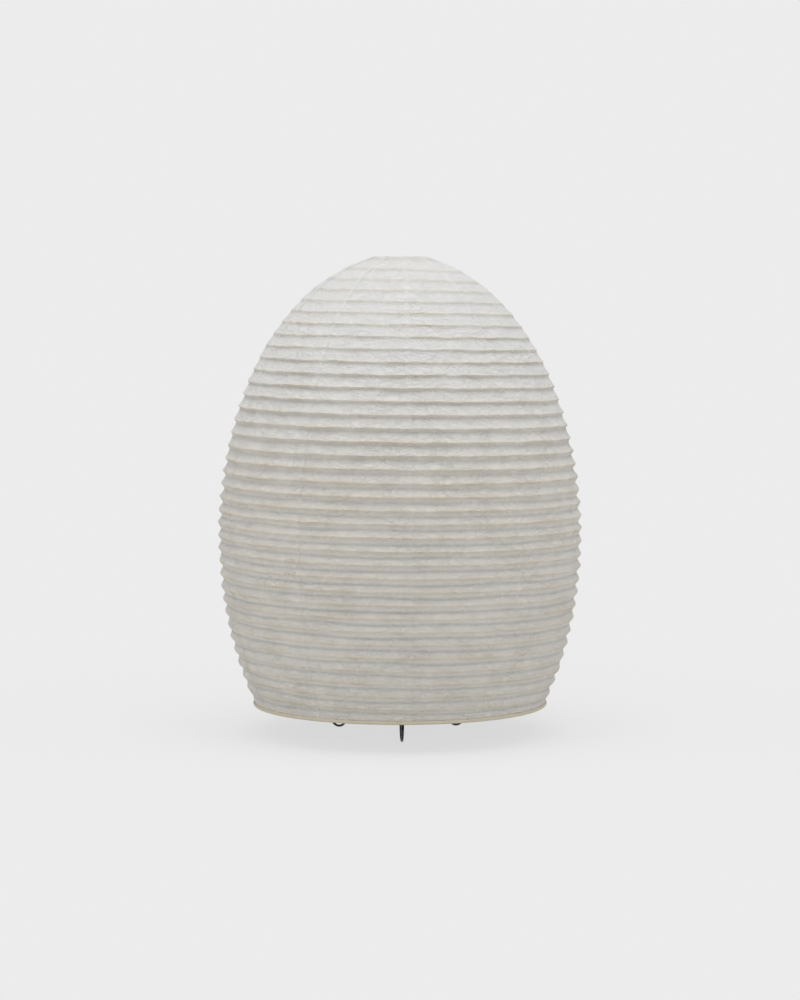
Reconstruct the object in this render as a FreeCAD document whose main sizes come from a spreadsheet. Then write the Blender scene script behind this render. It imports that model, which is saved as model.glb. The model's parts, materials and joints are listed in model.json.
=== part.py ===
import FreeCAD, Part
import math
import os
import re
import Sketcher
from FreeCAD import Placement, Rotation, Vector

# Paper lantern floor lamp: an egg of pleated paper on one helical bamboo rib, hung on a black wire
# stretcher that stands on three wire feet. Millimetres, +Z up, origin on the floor under the lamp's
# axis, front towards -Y. The shade's seam and the rib's start are at the back, +Y.

doc = FreeCAD.newDocument("PaperLanternFloorLamp")

# ---------------------------------------------------------------------------------- driving sizes

SIZES = [
    # shade
    ("overall_height", 600.0, "floor to the top of the shade's top hoop"),
    ("rim_clearance", 36.5, "floor to the underside of the bottom hoop"),
    ("shade_radius", 229.0, "crest of the widest pleat"),
    ("widest_height", 252.0, "height of the widest pleat"),
    ("top_hoop_radius", 34.0, "centre line of the top hoop"),
    ("bottom_hoop_radius", 183.5, "centre line of the bottom hoop"),
    ("hoop_wire", 3.2, "thickness of both hoops"),
    ("paper_thickness", 0.5, "paper"),
    ("panel_count", 10, "gores of paper round the shade"),
    ("pitch_top", 12.8, "rib spacing under the top hoop"),
    ("pitch_main", 16.15, "rib spacing below the easing turns"),
    ("last_crest_gap", 5.65, "least height of the last crest over the foot of the paper"),
    ("easing_turns", 13, "turns over which the spacing grows"),
    ("rib_thickness", 1.3, "split bamboo rib, square"),
    ("rib_clearance", 0.3, "rib to the paper of the crest"),
    ("pleat_depth_top", 0.8, "depth of the pleats at the top hoop"),
    ("pleat_depth_middle", 5.0, "depth of the pleats half way up"),
    ("pleat_depth_bottom", 3.2, "depth of the pleats at the bottom hoop"),
    ("seat_gap", 0.3, "between a soft piece or a moving piece and its seat"),
    ("crossbar_wire", 3.0, "bar across the top hoop"),
    # feet and hub
    ("leg_wire", 3.0, "wire of the legs"),
    ("eye_radius", 11.0, "centre line of a foot's round eye"),
    ("foot_circle_radius", 87.5, "lamp axis to the centre of an eye"),
    ("eye_angle", 314.0, "degrees that the wire turns in an eye"),
    ("leg_root_radius", 15.0, "lamp axis to the inner end of a leg"),
    ("plate_radius", 52.0, "hub plate"),
    ("plate_thickness", 2.0, "hub plate"),
    # stretcher
    ("rod_wire", 3.0, "stretcher wire"),
    ("rod_offset", 45.0, "lamp axis to an upright"),
    ("rod_shoulder_drop", 50.0, "top of the saddle down to where an upright bends inwards"),
    ("rod_neck_drop", 11.0, "top of the saddle down to where the wires enter it"),
    ("rod_neck_run", 14.0, "straight run of a wire beside the saddle"),
    ("rod_bend_radius", 12.0, "bends of the stretcher"),
    ("saddle_width", 14.0, "across the stretcher wires"),
    ("saddle_depth", 12.0, "along the crossbar"),
    ("saddle_height", 20.0, "saddle block"),
    # cord gland, nipple and nut
    ("gland_radius", 10.5, "gland body"),
    ("gland_height", 15.5, "gland body"),
    ("gland_spout_radius", 6.0, "spout to the back"),
    ("gland_spout_rise", 1.0, "foot of the gland to the underside of the spout"),
    ("gland_spout_length", 21.0, "lamp axis to the mouth of the spout"),
    ("cord_bore_radius", 3.3, "bore for the cord"),
    ("nipple_radius", 4.9, "threaded tube"),
    ("nipple_bore_radius", 3.6, "threaded tube"),
    ("nipple_grip", 4.5, "nipple inside the gland"),
    ("nipple_stand", 4.0, "nipple inside the contact block"),
    ("thread_clearance", 0.1, "nipple to its threaded holes"),
    ("plain_clearance", 0.3, "nipple to its plain holes"),
    ("nut_flats", 14.0, "across flats"),
    ("nut_height", 3.0, "lock nut"),
    # lampholder
    ("holder_radius", 19.0, "outside of the holder"),
    ("holder_wall", 2.2, "base wall"),
    ("holder_floor", 3.0, "base floor"),
    ("base_height", 20.0, "holder base"),
    ("spigot_height", 5.0, "body inside the base"),
    ("spigot_clearance", 0.2, "body to base"),
    ("body_height", 38.0, "holder body above the base"),
    ("body_bore_radius", 15.2, "inside of the holder body"),
    ("body_lip", 1.6, "lip round the mouth"),
    ("body_lip_height", 3.0, "lip round the mouth"),
    ("block_radius", 14.6, "contact block"),
    ("block_recess", 6.0, "recess under the block for the nipple"),
    ("shell_bore_radius", 13.7, "screw shell"),
    ("shell_thickness", 0.5, "screw shell"),
    ("shell_height", 28.0, "screw shell"),
    ("leaf_length", 16.0, "centre contact"),
    ("leaf_width", 6.0, "centre contact"),
    ("leaf_thickness", 0.6, "centre contact"),
    ("terminal_radius", 2.0, "terminal screws"),
    ("terminal_length", 9.0, "terminal screws"),
    ("terminal_inset", 1.0, "terminal screws below the face of the block"),
    ("terminal_offset", 10.0, "lamp axis to a terminal screw"),
    # bulb
    ("cap_radius", 13.2, "bulb cap"),
    ("cap_thickness", 0.5, "bulb cap"),
    ("cap_height", 24.0, "bulb cap"),
    ("tip_radius", 5.0, "contact at the foot of the bulb"),
    ("tip_thickness", 0.6, "contact at the foot of the bulb"),
    ("insulator_height", 3.5, "black glass between tip and cap"),
    ("neck_radius", 12.3, "bulb glass in the cap"),
    ("neck_insertion", 7.0, "bulb glass in the cap"),
    ("neck_height", 5.0, "straight glass above the cap"),
    ("bulb_radius", 30.0, "bulb glass"),
    ("shoulder_angle", 40.0, "degrees below the ball's middle where the cone meets it"),
    ("bulb_centre_rise", 49.0, "top of the cap to the centre of the bulb"),
    ("glass_thickness", 0.8, "bulb glass"),
    ("stem_radius", 3.0, "glass stem"),
    ("stem_rise", 22.0, "top of the cap to the top of the stem"),
    ("filament_wire", 0.6, "filament and its leads"),
    ("filament_span", 11.0, "lamp axis to a lead's top"),
    ("filament_rise", 20.0, "top of the stem to the filament"),
    ("filament_root", 1.5, "lamp axis to the foot of a lead"),
    ("filament_bend_radius", 1.5, "corners of the filament"),
]

sheet = doc.addObject("Spreadsheet::Sheet", "Sizes")
for row, (alias, value, note) in enumerate(SIZES, start=1):
    sheet.set(f"A{row}", alias)
    sheet.set(f"B{row}", str(value))
    sheet.set(f"C{row}", note)
    sheet.setAlias(f"B{row}", alias)
doc.recompute()


def size(alias):
    """The value of one driving size."""
    return float(sheet.get(alias))


# Heights up the lamp's axis, as sums of driving sizes, from the floor upwards.
ARM_HEIGHT = "leg_wire / 2 + 2 * eye_radius"
PLATE_FOOT = "leg_wire + 2 * eye_radius"
PLATE_TOP = f"{PLATE_FOOT} + plate_thickness"
NUT_TOP = f"{PLATE_TOP} + nut_height"
BLOCK_FOOT = f"{NUT_TOP} + holder_floor"
BLOCK_TOP = f"{NUT_TOP} + base_height"
BODY_TOP = f"{BLOCK_TOP} + body_height"
TIP_FOOT = f"{BLOCK_TOP} + leaf_thickness + seat_gap"
TIP_TOP = f"{TIP_FOOT} + tip_thickness"
CAP_FOOT = f"{TIP_TOP} + insulator_height"
CAP_TOP = f"{CAP_FOOT} + cap_height"
BULB_CENTRE = f"{CAP_TOP} + bulb_centre_rise"
STEM_TOP = f"{CAP_TOP} + stem_rise"
GLAND_FOOT = f"{PLATE_FOOT} - gland_height"
SPOUT_HEIGHT = f"{GLAND_FOOT} + gland_spout_rise + gland_spout_radius"
HOOP_HEIGHT = "overall_height - hoop_wire / 2"
RIM_HEIGHT = "rim_clearance + hoop_wire / 2"
SADDLE_SEAT = f"{HOOP_HEIGHT} - crossbar_wire / 2 - seat_gap"

# ---------------------------------------------------------------------------------- small helpers


def on_sheet(text):
    """An expression on the spreadsheet from sizes written by name; every size's name has an underscore."""
    return re.sub(r"[a-z]+_[a-z_]+", lambda name: "Sizes." + name.group(0), text)


def bind(thing, **texts):
    """Tie properties to the spreadsheet; a double underscore stands for the dot of a path."""
    for path, text in texts.items():
        thing.setExpression(path.replace("__", "."), on_sheet(text))
    return thing


def place(thing, x="0", y="0", z="0", turn=None):
    """Stand an object at a place given on the spreadsheet."""
    if turn is not None:
        thing.Placement.Rotation = turn
    bind(thing, Placement__Base__x=x, Placement__Base__y=y, Placement__Base__z=z)
    return thing


def cylinder(name, radius, height, **at):
    return place(bind(doc.addObject("Part::Cylinder", name), Radius=radius, Height=height), **at)


def box(name, length, width, height, **at):
    piece = doc.addObject("Part::Box", name)
    return place(bind(piece, Length=length, Width=width, Height=height), **at)


def ring(name, radius, wire, **at):
    piece = doc.addObject("Part::Torus", name)
    return place(bind(piece, Radius1=radius, Radius2=f"({wire}) / 2"), **at)


def cut(name, base, tool):
    piece = doc.addObject("Part::Cut", name)
    piece.Base, piece.Tool = base, tool
    return piece


def fuse(name, *shapes):
    piece = doc.addObject("Part::MultiFuse", name)
    piece.Shapes = list(shapes)
    return piece


# An outline is first sketched as an even polygon, which its constraints then pull into place.
ROUGH_CENTRE, ROUGH_REACH = Vector(40, 50, 0), Vector(-9, 0, 0)


def turned(name, corners):
    """A body turned about the lamp's axis; each corner is its radius and height on the sheet."""
    body = doc.addObject("PartDesign::Body", name)
    sketch = body.newObject("Sketcher::SketchObject", name + "_outline")
    plane = [feature for feature in body.Origin.OriginFeatures if feature.Role == "XZ_Plane"][0]
    sketch.AttachmentSupport = [(plane, "")]
    sketch.MapMode = "FlatFace"
    count = len(corners)
    rough = [ROUGH_CENTRE + Rotation(Vector(0, 0, 1), 360 * k / count).multVec(ROUGH_REACH)
             for k in range(count)]
    for k in range(count):
        sketch.addGeometry(Part.LineSegment(rough[k], rough[(k + 1) % count]), False)
    for k in range(count):
        sketch.addConstraint(Sketcher.Constraint("Coincident", k, 2, (k + 1) % count, 1))
    for k, (radius, height) in enumerate(corners):
        if radius == "0":
            sketch.addConstraint(Sketcher.Constraint("PointOnObject", k, 1, -2))
        else:
            across = sketch.addConstraint(Sketcher.Constraint("DistanceX", -1, 1, k, 1, rough[k].x))
            sketch.setExpression(f"Constraints[{across}]", on_sheet(radius))
        upward = sketch.addConstraint(Sketcher.Constraint("DistanceY", -1, 1, k, 1, rough[k].y))
        sketch.setExpression(f"Constraints[{upward}]", on_sheet(height))
    turn = body.newObject("PartDesign::Revolution", name + "_turn")
    turn.Profile = sketch
    turn.ReferenceAxis = (sketch, ["V_Axis"])
    turn.Angle = 360
    body.Tip = turn
    return body


def formed(name, shape):
    """A piece whose shape comes from the formulas below rather than from features."""
    piece = doc.addObject("Part::Feature", name)
    piece.Shape = shape
    return piece


def bent_wire(points, bend_radius, thickness):
    """A round wire along straight runs joined by tangent arcs, as one solid."""
    edges = []
    start = points[0]
    for before, corner, after in zip(points, points[1:], points[2:]):
        into = (corner - before).normalize()
        out = (after - corner).normalize()
        half_turn = into.getAngle(out) / 2
        reach = bend_radius * math.tan(half_turn)
        first, last = corner - into * reach, corner + out * reach
        inward = (out - into).normalize()
        middle = corner + inward * (bend_radius / math.cos(half_turn) - bend_radius)
        edges += [Part.LineSegment(start, first).toShape(), Part.Arc(first, middle, last).toShape()]
        start = last
    edges.append(Part.LineSegment(start, points[-1]).toShape())
    return wire_solid(Part.Wire(edges), points[0], (points[1] - points[0]).normalize(), thickness)


def wire_solid(path, start, heading, thickness):
    """A round section swept along a path."""
    section = Part.Wire(Part.makeCircle(thickness / 2, start, heading))
    return path.makePipeShell([section], True, False)


def strip_solid(path, start, heading, thickness):
    """A square section swept along a path."""
    across = heading.cross(Vector(0, 0, 1)).normalize() * (thickness / 2)
    upward = across.cross(heading)
    corners = [start + across + upward, start + across - upward,
               start - across - upward, start - across + upward]
    return path.makePipeShell([Part.makePolygon([*corners, corners[0]])], True, False)


Y_WAYS = Rotation(Vector(1, 0, 0), -90)

# ------------------------------------------------------------------------------------ hub and feet

PLATE_HOLE = "nipple_radius + plain_clearance"
NUT_HOLE = "nipple_radius + thread_clearance"

hub_plate = turned("hub_plate", [
    (PLATE_HOLE, PLATE_FOOT), ("plate_radius", PLATE_FOOT),
    ("plate_radius", PLATE_TOP), (PLATE_HOLE, PLATE_TOP)])

# A leg is one wire: straight out under the plate, then round in an upright eye that stands on the floor.
# The eye's wire starts at its top, goes outwards and down, and ends just short of the straight run.
EYE_UPRIGHT = Rotation(Vector(0, 0, 1), Vector(0, -1, 0), Vector(1, 0, 0), "XYZ")
OUTWARD_FRONT = Rotation(Vector(1, 0, 0), 90)
legs = []
for side, azimuth in (("front", 0), ("rear_right", 120), ("rear_left", -120)):
    arm = cylinder(f"leg_{side}_arm", "leg_wire / 2", "foot_circle_radius - leg_root_radius",
                   y="-leg_root_radius", z=ARM_HEIGHT, turn=OUTWARD_FRONT)
    eye = ring(f"leg_{side}_eye", "eye_radius", "leg_wire",
               y="-foot_circle_radius", z="leg_wire / 2 + eye_radius", turn=EYE_UPRIGHT)
    bind(eye, Angle3="eye_angle")
    leg = fuse(f"leg_{side}", arm, eye)
    leg.Placement = Placement(Vector(0, 0, 0), Rotation(Vector(0, 0, 1), azimuth))
    legs.append(leg)

# --------------------------------------------------------------------------------- stretcher

saddle_block = box("saddle_block", "saddle_width", "saddle_depth", "saddle_height",
                   x="-saddle_width / 2", y="-saddle_depth / 2", z="overall_height - saddle_height")
saddle_notch = box("saddle_notch", "crossbar_wire + 2 * seat_gap", "saddle_depth", "saddle_height",
                   x="-crossbar_wire / 2 - seat_gap", y="-saddle_depth / 2", z=SADDLE_SEAT)
stretcher_saddle = cut("stretcher_saddle", saddle_block, saddle_notch)

plate_top = size("leg_wire") + 2 * size("eye_radius") + size("plate_thickness")
neck_height = size("overall_height") - size("rod_neck_drop")
shoulder_height = size("overall_height") - size("rod_shoulder_drop")
stretcher_rods = []
for side, sign in (("left", -1), ("right", 1)):
    neck = size("saddle_width") / 2
    route = [Vector(sign * size("rod_offset"), 0, plate_top),
             Vector(sign * size("rod_offset"), 0, shoulder_height),
             Vector(sign * (neck + size("rod_neck_run")), 0, neck_height),
             Vector(sign * neck, 0, neck_height)]
    rod = formed(f"stretcher_rod_{side}", bent_wire(route, size("rod_bend_radius"), size("rod_wire")))
    stretcher_rods.append(rod)

# --------------------------------------------------------------------------------- gland, nipple, nut

gland_body = cylinder("gland_body", "gland_radius", "gland_height", z=GLAND_FOOT)
gland_spout = cylinder("gland_spout", "gland_spout_radius", "gland_spout_length",
                       z=SPOUT_HEIGHT, turn=Y_WAYS)
gland_well = cylinder("gland_well", NUT_HOLE, "gland_height", z=SPOUT_HEIGHT)
gland_bore = cylinder("gland_bore", "cord_bore_radius", "gland_spout_length", z=SPOUT_HEIGHT, turn=Y_WAYS)
cord_gland = cut("cord_gland", fuse("gland_solid", gland_body, gland_spout),
                 fuse("gland_hollow", gland_well, gland_bore))

NIPPLE_FOOT = f"{PLATE_FOOT} - nipple_grip"
NIPPLE_TOP = f"{BLOCK_FOOT} + nipple_stand"
nipple = turned("nipple", [
    ("nipple_bore_radius", NIPPLE_FOOT), ("nipple_radius", NIPPLE_FOOT),
    ("nipple_radius", NIPPLE_TOP), ("nipple_bore_radius", NIPPLE_TOP)])

nut_blank = doc.addObject("Part::Prism", "nut_blank")
nut_blank.Polygon = 6
place(bind(nut_blank, Circumradius="nut_flats / sqrt(3)", Height="nut_height"), z=PLATE_TOP)
nut_hole = cylinder("nut_hole", NUT_HOLE, "nut_height", z=PLATE_TOP)
lock_nut = cut("lock_nut", nut_blank, nut_hole)

# ------------------------------------------------------------------------------------ lampholder

BASE_BORE = "holder_radius - holder_wall"
holder_base = turned("holder_base", [
    (NUT_HOLE, NUT_TOP), ("holder_radius", NUT_TOP), ("holder_radius", BLOCK_TOP),
    (BASE_BORE, BLOCK_TOP), (BASE_BORE, BLOCK_FOOT), (NUT_HOLE, BLOCK_FOOT)])

# The contact block takes the end of the nipple in a recess and two terminal screws beside it.
block_blank = turned("block_blank", [
    (PLATE_HOLE, BLOCK_FOOT), ("block_radius", BLOCK_FOOT), ("block_radius", BLOCK_TOP),
    ("0", BLOCK_TOP), ("0", f"{BLOCK_FOOT} + block_recess"),
    (PLATE_HOLE, f"{BLOCK_FOOT} + block_recess")])
terminal_holes = fuse("terminal_holes", *[
    cylinder(f"terminal_hole_{side}", "terminal_radius + thread_clearance",
             "terminal_length + terminal_inset", x=f"{sign} * terminal_offset", z=BLOCK_FOOT)
    for side, sign in (("left", -1), ("right", 1))])
contact_block = cut("contact_block", block_blank, terminal_holes)
terminal_screws = fuse("terminal_screws", *[
    cylinder(f"terminal_screw_{side}", "terminal_radius", "terminal_length",
             x=f"{sign} * terminal_offset", z=f"{BLOCK_FOOT} + terminal_inset")
    for side, sign in (("left", -1), ("right", 1))])

SPIGOT_RADIUS = f"{BASE_BORE} - spigot_clearance"
SPIGOT_FOOT = f"{BLOCK_TOP} - spigot_height"
holder_body = turned("holder_body", [
    ("body_bore_radius", SPIGOT_FOOT), (SPIGOT_RADIUS, SPIGOT_FOOT), (SPIGOT_RADIUS, BLOCK_TOP),
    ("holder_radius", BLOCK_TOP), ("holder_radius", f"{BODY_TOP} - body_lip_height"),
    ("holder_radius + body_lip", f"{BODY_TOP} - body_lip_height"),
    ("holder_radius + body_lip", BODY_TOP), ("body_bore_radius", BODY_TOP)])

SHELL_RADIUS = "shell_bore_radius + shell_thickness"
SHELL_TOP = f"{BLOCK_TOP} + shell_height"
screw_shell = turned("screw_shell", [
    ("shell_bore_radius", BLOCK_TOP), (SHELL_RADIUS, BLOCK_TOP),
    (SHELL_RADIUS, SHELL_TOP), ("shell_bore_radius", SHELL_TOP)])

centre_contact = box("centre_contact", "leaf_length", "leaf_width", "leaf_thickness",
                     x="-leaf_length / 2", y="-leaf_width / 2", z=BLOCK_TOP)

# ------------------------------------------------------------------------------------ bulb

bulb_tip_contact = cylinder("bulb_tip_contact", "tip_radius", "tip_thickness", z=TIP_FOOT)
CAP_BORE = "cap_radius - cap_thickness"
bulb_insulator = turned("bulb_insulator", [
    ("0", TIP_TOP), ("tip_radius", TIP_TOP), ("cap_radius", CAP_FOOT), ("0", CAP_FOOT)])
bulb_cap = turned("bulb_cap", [
    (CAP_BORE, CAP_FOOT), ("cap_radius", CAP_FOOT), ("cap_radius", CAP_TOP), (CAP_BORE, CAP_TOP)])

# The glass is a neck, a cone that meets the ball a little inside its skin, and the ball.
GLASS_FOOT = f"{CAP_TOP} - neck_insertion"
NECK_TOP = f"{CAP_TOP} + neck_height"


def glass_body(name, inset):
    """The bulb's outside, or with an inset its inside."""
    neck = cylinder(name + "_neck", f"neck_radius - {inset}", "neck_insertion + neck_height", z=GLASS_FOOT)
    cone = doc.addObject("Part::Cone", name + "_cone")
    bind(cone, Radius1=f"neck_radius - {inset}",
         Radius2=f"(bulb_radius - {inset}) * cos(shoulder_angle * 1 deg)",
         Height=f"bulb_centre_rise - neck_height - (bulb_radius - {inset}) * sin(shoulder_angle * 1 deg)")
    place(cone, z=NECK_TOP)
    ball = place(bind(doc.addObject("Part::Sphere", name + "_ball"), Radius=f"bulb_radius - {inset}"),
                 z=BULB_CENTRE)
    return fuse(name, neck, cone, ball)


glass_outside = glass_body("glass_outside", "0")
glass_inside = glass_body("glass_inside", "glass_thickness")
bulb_glass = cut("bulb_glass", glass_outside, glass_inside)

FLARE_RADIUS = "neck_radius - glass_thickness - plain_clearance"
bulb_stem = turned("bulb_stem", [
    ("0", GLASS_FOOT), (FLARE_RADIUS, GLASS_FOOT), (FLARE_RADIUS, f"{GLASS_FOOT} + glass_thickness"),
    ("stem_radius", CAP_TOP), ("stem_radius", STEM_TOP), ("0", STEM_TOP)])

# The stem's top is where the leads of the filament start.
doc.recompute()
stem_top = bulb_stem.Shape.BoundBox.ZMax
filament_height = stem_top + size("filament_rise")
filament_route = [Vector(size("filament_root"), 0, stem_top),
                  Vector(size("filament_span"), 0, filament_height),
                  Vector(-size("filament_span"), 0, filament_height),
                  Vector(-size("filament_root"), 0, stem_top)]
bulb_filament = formed("bulb_filament", bent_wire(
    filament_route, size("filament_bend_radius"), size("filament_wire")))

# ------------------------------------------------------------------------------------ shade

top_hoop = ring("top_hoop", "top_hoop_radius", "hoop_wire", z=HOOP_HEIGHT)
bottom_hoop = ring("bottom_hoop", "bottom_hoop_radius", "hoop_wire", z=RIM_HEIGHT)
crossbar = cylinder("crossbar", "crossbar_wire / 2", "2 * top_hoop_radius - hoop_wire",
                    y="hoop_wire / 2 - top_hoop_radius", z=HOOP_HEIGHT, turn=Y_WAYS)

hoop_height = size("overall_height") - size("hoop_wire") / 2
rim_height = size("rim_clearance") + size("hoop_wire") / 2
paper_edge_gap = size("hoop_wire") / 2 + size("seat_gap")
paper_top = hoop_height
paper_foot = rim_height + paper_edge_gap


def egg(height):
    """The crest line of the paper: its radius at a height, and its outward normal (radial, upward).

    The egg is two half ellipses that meet at the widest height; each runs through its own hoop.
    """
    rise = height - size("widest_height")
    if rise > 0:
        hoop_rise = hoop_height - size("widest_height")
        hoop_radius = size("top_hoop_radius") + paper_edge_gap
    else:
        hoop_rise = size("widest_height") - rim_height
        hoop_radius = size("bottom_hoop_radius")
    half_height = hoop_rise / math.sqrt(1 - (hoop_radius / size("shade_radius")) ** 2)
    radius = size("shade_radius") * math.sqrt(1 - (rise / half_height) ** 2)
    radial, upward = radius / size("shade_radius") ** 2, rise / half_height ** 2
    length = math.hypot(radial, upward)
    return radius, (radial / length, upward / length)


def rib_height(turn):
    """Height of the helical crest after so many turns below the top hoop; its spacing eases open."""
    eased = min(turn, size("easing_turns"))
    opening = (size("pitch_main") - size("pitch_top")) / size("easing_turns")
    eased_drop = size("pitch_top") * eased + opening * eased ** 2 / 2
    return hoop_height - eased_drop - size("pitch_main") * (turn - eased)


# The rib starts half a turn's drop below the top hoop and stops short of the bottom one.
FIRST_TURN = 0.5
rib_turns = 1
while rib_height(FIRST_TURN + rib_turns + 1) > paper_foot + size("last_crest_gap"):
    rib_turns += 1


def pleat_depth(height):
    """Depth of the valleys: it swells from each hoop to the middle of the shade."""
    share = (height - rim_height) / (hoop_height - rim_height)
    ends = size("pleat_depth_bottom") * (1 - share) ** 2 + size("pleat_depth_top") * share ** 2
    swell = 2 * size("pleat_depth_middle") - (size("pleat_depth_bottom") + size("pleat_depth_top")) / 2
    return ends + swell * 2 * share * (1 - share)


def around(radius, height, turn):
    """A point of the shade; turns count anticlockwise from the back, seen from above."""
    angle = math.pi / 2 + math.tau * turn
    return Vector(radius * math.cos(angle), radius * math.sin(angle), height)


def paper_section(turn):
    """The closed outline of the pleated paper in the upright plane at one turn from the back."""
    crests = [rib_height(FIRST_TURN + coil + turn) for coil in range(rib_turns)]
    folds = [paper_top] + crests + [paper_foot]
    outside, inside = [], []
    for upper, lower in zip(folds, folds[1:] + [None]):
        marks = [(upper, 0.0)]
        if lower is not None:
            middle = (upper + lower) / 2
            marks.append((middle, pleat_depth(middle) * min(1.0, (upper - lower) / size("pitch_main"))))
        for height, depth in marks:
            radius, (radial, upward) = egg(height)
            for row, inset in ((outside, depth), (inside, depth + size("paper_thickness"))):
                row.append(around(radius - inset * radial, height - inset * upward, turn))
    outline = outside + inside[::-1]
    return Part.makePolygon(outline + outline[:1])


PANEL_SECTIONS = (0.0, 0.5, 1.0)
panel_count = int(size("panel_count"))
paper_panels = []
for panel in range(panel_count):
    sections = [paper_section((panel + part) / panel_count) for part in PANEL_SECTIONS]
    paper_panels.append(formed(f"paper_panel_{panel + 1:02d}", Part.makeLoft(sections, True, False)))


def rib_point(turn):
    """A point of the rib's centre line, inside the crest of the paper."""
    height = rib_height(FIRST_TURN + turn)
    radius, (radial, upward) = egg(height)
    fold = math.atan2(size("pitch_main") / 2, size("pleat_depth_middle"))
    inset = size("paper_thickness") + (size("rib_thickness") / 2 + size("rib_clearance")) / math.sin(fold)
    return around(radius - inset * radial, height - inset * upward, turn)


def rib_heading(turn):
    step = 1e-4
    return (rib_point(turn + step) - rib_point(turn - step)).normalize()


def arc_from(start, heading, end):
    """The arc that leaves a point along a heading and reaches another point."""
    chord = end - start
    corner = start + heading * (chord.Length ** 2 / (2 * chord.dot(heading)))
    weight = chord.Length / 2 / (corner - start).Length
    middle = (start + corner * (2 * weight) + end) * (1 / (2 + 2 * weight))
    return Part.Arc(start, middle, end).toShape()


def biarc(start, start_heading, end, end_heading):
    """Two tangent arcs between two points with given headings."""
    span = end - start
    both = start_heading + end_heading
    bend = 2 * (1 - start_heading.dot(end_heading))
    along = span.dot(both)
    reach = (math.sqrt(along ** 2 + bend * span.dot(span)) - along) / bend
    joint = (start + start_heading * reach + end - end_heading * reach) * 0.5
    joint_heading = (end - end_heading * reach - start - start_heading * reach).normalize()
    return [arc_from(start, start_heading, joint), arc_from(joint, joint_heading, end)]


# The rib is one unbroken strip: biarcs of a quarter turn from the top hoop down to the bottom one.
BIARC_COUNT = 4
rib_steps = BIARC_COUNT * rib_turns
rib_edges = []
for step in range(rib_steps):
    first, last = step / BIARC_COUNT, (step + 1) / BIARC_COUNT
    rib_edges += biarc(rib_point(first), rib_heading(first), rib_point(last), rib_heading(last))
bamboo_rib = formed("bamboo_rib", strip_solid(
    Part.Wire(rib_edges), rib_point(0), rib_heading(0), size("rib_thickness")))

# The least gap of the rib to itself, from points of one coil against those about a turn further on.
COIL_POINTS = 24
rib_track = [rib_point(step / COIL_POINTS) for step in range(COIL_POINTS * rib_turns + 1)]
coil_gap = min((point - other).Length for k, point in enumerate(rib_track)
               for other in rib_track[k + 3 * COIL_POINTS // 4:k + 5 * COIL_POINTS // 4 + 1])
print(f"rib turns {rib_turns}, least gap of the rib to itself {coil_gap - size('rib_thickness'):.2f} mm")

# ------------------------------------------------------------------------------------ output

pieces = [hub_plate, *legs, *stretcher_rods, stretcher_saddle, cord_gland, nipple, lock_nut,
          holder_base, contact_block, terminal_screws, holder_body, screw_shell, centre_contact,
          bulb_tip_contact, bulb_insulator, bulb_cap, bulb_glass, bulb_stem, bulb_filament,
          top_hoop, crossbar, *paper_panels, bamboo_rib, bottom_hoop]

doc.recompute()
for thing in doc.Objects:
    if "Invalid" in thing.State or "Error" in thing.State:
        raise RuntimeError(f"{thing.Name} failed to build")
for piece in pieces:
    if piece.Shape.isNull() or not piece.Shape.isValid() or not piece.Shape.Solids:
        raise RuntimeError(f"{piece.Label} has no valid solid")

os.makedirs("parts", exist_ok=True)
for piece in pieces:
    piece.Label = piece.Name
    piece.Shape.exportStep(f"parts/{piece.Label}.step")
    print(f"{piece.Label}: {len(piece.Shape.Solids)} solid, {piece.Shape.Volume:.0f} mm3")
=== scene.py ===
"""Paper lantern floor lamp, dressed over its CAD frame.

Ten gores of pleated mulberry paper, the bamboo rib behind their crests, the wrapped hoops, the
tape round the rim, the wire legs with their coiled eyes, the threads of the bulb cap and the screw
shell, and a material for every piece that the CAD model brings.
Metres; the lamp stands on z = 0 on the z axis, front towards -Y. Turns count anticlockwise from the
back, seen from above. A fall is a way down the shade in pitches of the rib, from the top hoop.
"""

import json
import math

import bpy
import numpy as np
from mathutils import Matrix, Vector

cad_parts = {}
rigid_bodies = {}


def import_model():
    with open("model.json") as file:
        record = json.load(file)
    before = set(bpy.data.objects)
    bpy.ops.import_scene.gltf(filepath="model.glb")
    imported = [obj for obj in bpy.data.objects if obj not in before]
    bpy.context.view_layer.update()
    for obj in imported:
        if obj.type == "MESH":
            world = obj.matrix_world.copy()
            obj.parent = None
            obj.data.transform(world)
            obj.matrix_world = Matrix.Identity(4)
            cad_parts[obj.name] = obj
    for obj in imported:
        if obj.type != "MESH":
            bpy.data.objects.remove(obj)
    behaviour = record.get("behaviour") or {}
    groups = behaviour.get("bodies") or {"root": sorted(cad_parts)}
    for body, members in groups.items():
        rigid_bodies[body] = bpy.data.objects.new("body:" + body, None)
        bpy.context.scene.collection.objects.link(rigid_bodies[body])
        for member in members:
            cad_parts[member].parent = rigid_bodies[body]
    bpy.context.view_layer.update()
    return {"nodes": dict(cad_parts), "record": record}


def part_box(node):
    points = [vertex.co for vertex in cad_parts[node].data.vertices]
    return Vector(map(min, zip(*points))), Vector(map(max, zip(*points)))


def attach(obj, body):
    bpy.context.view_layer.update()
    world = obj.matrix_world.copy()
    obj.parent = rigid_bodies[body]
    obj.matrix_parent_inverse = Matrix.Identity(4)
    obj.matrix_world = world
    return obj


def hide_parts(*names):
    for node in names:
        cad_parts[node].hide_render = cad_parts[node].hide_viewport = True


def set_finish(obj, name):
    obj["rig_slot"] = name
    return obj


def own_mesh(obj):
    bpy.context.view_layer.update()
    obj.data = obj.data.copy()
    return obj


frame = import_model()

# ------------------------------------------------------------------------------------------- sizes

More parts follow.
